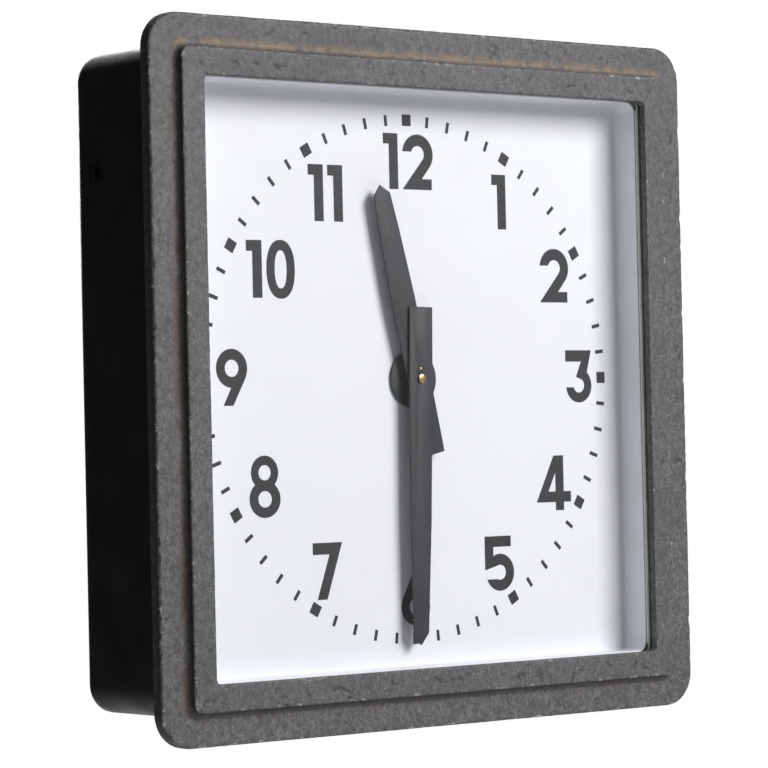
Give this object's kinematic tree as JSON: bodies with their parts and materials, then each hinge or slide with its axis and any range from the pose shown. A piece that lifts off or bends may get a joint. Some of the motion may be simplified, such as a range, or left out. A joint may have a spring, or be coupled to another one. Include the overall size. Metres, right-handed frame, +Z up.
{
  "type": "wall clock",
  "caption": "Square wall-mounted station clock: cast grey front frame on a deep black case, white dial with bold numerals, two flat hands, impulse-driven movement behind.",
  "frame": {"origin": "centre of the case's flat back, on the wall", "axes": "+Z up, the dial faces -Y, +X to the right as the dial is read"},
  "size_m": [0.482, 0.119, 0.4821],
  "materials": {
    "cast_grey": "fine sand-cast grey paint, worn at the edges, dust and rust in the step",
    "case_paint": "near-black paint, slightly mottled",
    "hinge_paint": "dark grey paint",
    "dial_enamel": "smooth white enamel",
    "strip_paint": "white painted steel",
    "hand_paint": "matt dark grey paint",
    "clear_glass": "clear window glass with faint haze",
    "zinc_steel": "dull zinc-plated steel",
    "bright_steel": "turned steel",
    "soft_iron": "annealed iron",
    "brass": "lightly tarnished brass",
    "rubber": "aged black rubber",
    "putty": "dried glazing putty",
    "bakelite": "dark brown moulding",
    "winding": "varnished tape-wrapped winding",
    "cloth_lead": "braided cloth insulation"
  },
  "bodies": {
    "case": {"case_body": "case_paint", "hanging_bar": "zinc_steel", "side_screw_left": "case_paint", "side_screw_right": "case_paint", "gland_body": "brass", "gland_locknut": "brass", "gland_cap": "brass", "gland_seal": "rubber", "terminal_block": "bakelite", "terminal_screw_left": "brass", "terminal_screw_right": "brass", "coil_lead_left": "cloth_lead", "coil_lead_right": "cloth_lead", "dial_tray": "dial_enamel", "tray_rail_left": "zinc_steel", "tray_rail_right": "zinc_steel", "tray_screw_1": "zinc_steel", "tray_screw_2": "zinc_steel", "tray_screw_3": "zinc_steel", "tray_screw_4": "zinc_steel", "centre_cover_disc": "hand_paint", "movement_front_plate": "brass", "movement_back_plate": "brass", "movement_pillar_1": "bright_steel", "movement_pillar_2": "bright_steel", "movement_pillar_3": "bright_steel", "movement_pillar_4": "bright_steel", "magnet_yoke": "soft_iron", "coil_left": "winding", "coil_right": "winding", "backstop_spring": "bright_steel", "intermediate_stud": "bright_steel", "case_hinge_left": "hinge_paint", "case_hinge_right": "hinge_paint", "hinge_pin_left": "bright_steel", "hinge_pin_right": "bright_steel", "latch_stud": "zinc_steel"},
    "front_door": {"front_frame": "cast_grey", "glass_pane": "clear_glass", "glass_bedding": "putty", "glass_strip_top": "strip_paint", "glass_strip_right": "strip_paint", "glass_strip_bottom": "strip_paint", "glass_strip_left": "strip_paint", "door_seal": "rubber", "frame_hinge_left": "hinge_paint", "frame_hinge_right": "hinge_paint", "latch_keeper": "zinc_steel"},
    "latch": {"latch_hook": "zinc_steel"},
    "minute_train": {"centre_arbor": "bright_steel", "ratchet_wheel": "brass", "minute_hand": "hand_paint", "hand_nut": "brass"},
    "intermediate": {"intermediate_wheel": "brass"},
    "hour_train": {"hour_wheel": "brass", "hour_hand": "hand_paint"},
    "armature": {"armature": "soft_iron", "armature_arbor": "bright_steel"},
    "pawl": {"driving_pawl": "bright_steel"}
  },
  "joints": [
    {"name": "door_hinge", "type": "hinge", "parent": "case", "child": "front_door", "pos_m": [0, -0.098, 0.232], "axis": [-1, 0, 0], "range_deg": [0, 105]},
    {"name": "latch_turn", "type": "hinge", "parent": "case", "child": "latch", "pos_m": [0, -0.07, -0.2295], "axis": [0, 0, 1], "range_deg": [0, 90]},
    {"name": "minute_turn", "type": "hinge", "parent": "case", "child": "minute_train", "pos_m": [0, 0, 0], "axis": [0, 1, 0], "continuous": true},
    {"name": "intermediate_turn", "type": "hinge", "parent": "case", "child": "intermediate", "pos_m": [0, 0, 0.024], "axis": [0, 1, 0], "continuous": true},
    {"name": "hour_turn", "type": "hinge", "parent": "case", "child": "hour_train", "pos_m": [0, 0, 0], "axis": [0, 1, 0], "continuous": true},
    {"name": "armature_rock", "type": "hinge", "parent": "case", "child": "armature", "pos_m": [-0.034, 0, -0.0336], "axis": [0, 1, 0], "range_deg": [0, 2.4], "stiffness_Nm_per_rad": 0.6, "springref_deg": -3.44},
    {"name": "pawl_swing", "type": "hinge", "parent": "armature", "child": "pawl", "pos_m": [0.027, 0, -0.0336], "axis": [0, 1, 0], "range_deg": [-1.2, 6], "stiffness_Nm_per_rad": 0.02}
  ],
  "couplings": [
    {"joint": "intermediate_turn", "follows": "minute_turn", "ratio": -0.33333},
    {"joint": "hour_turn", "follows": "minute_turn", "ratio": 0.083333}
  ]
}
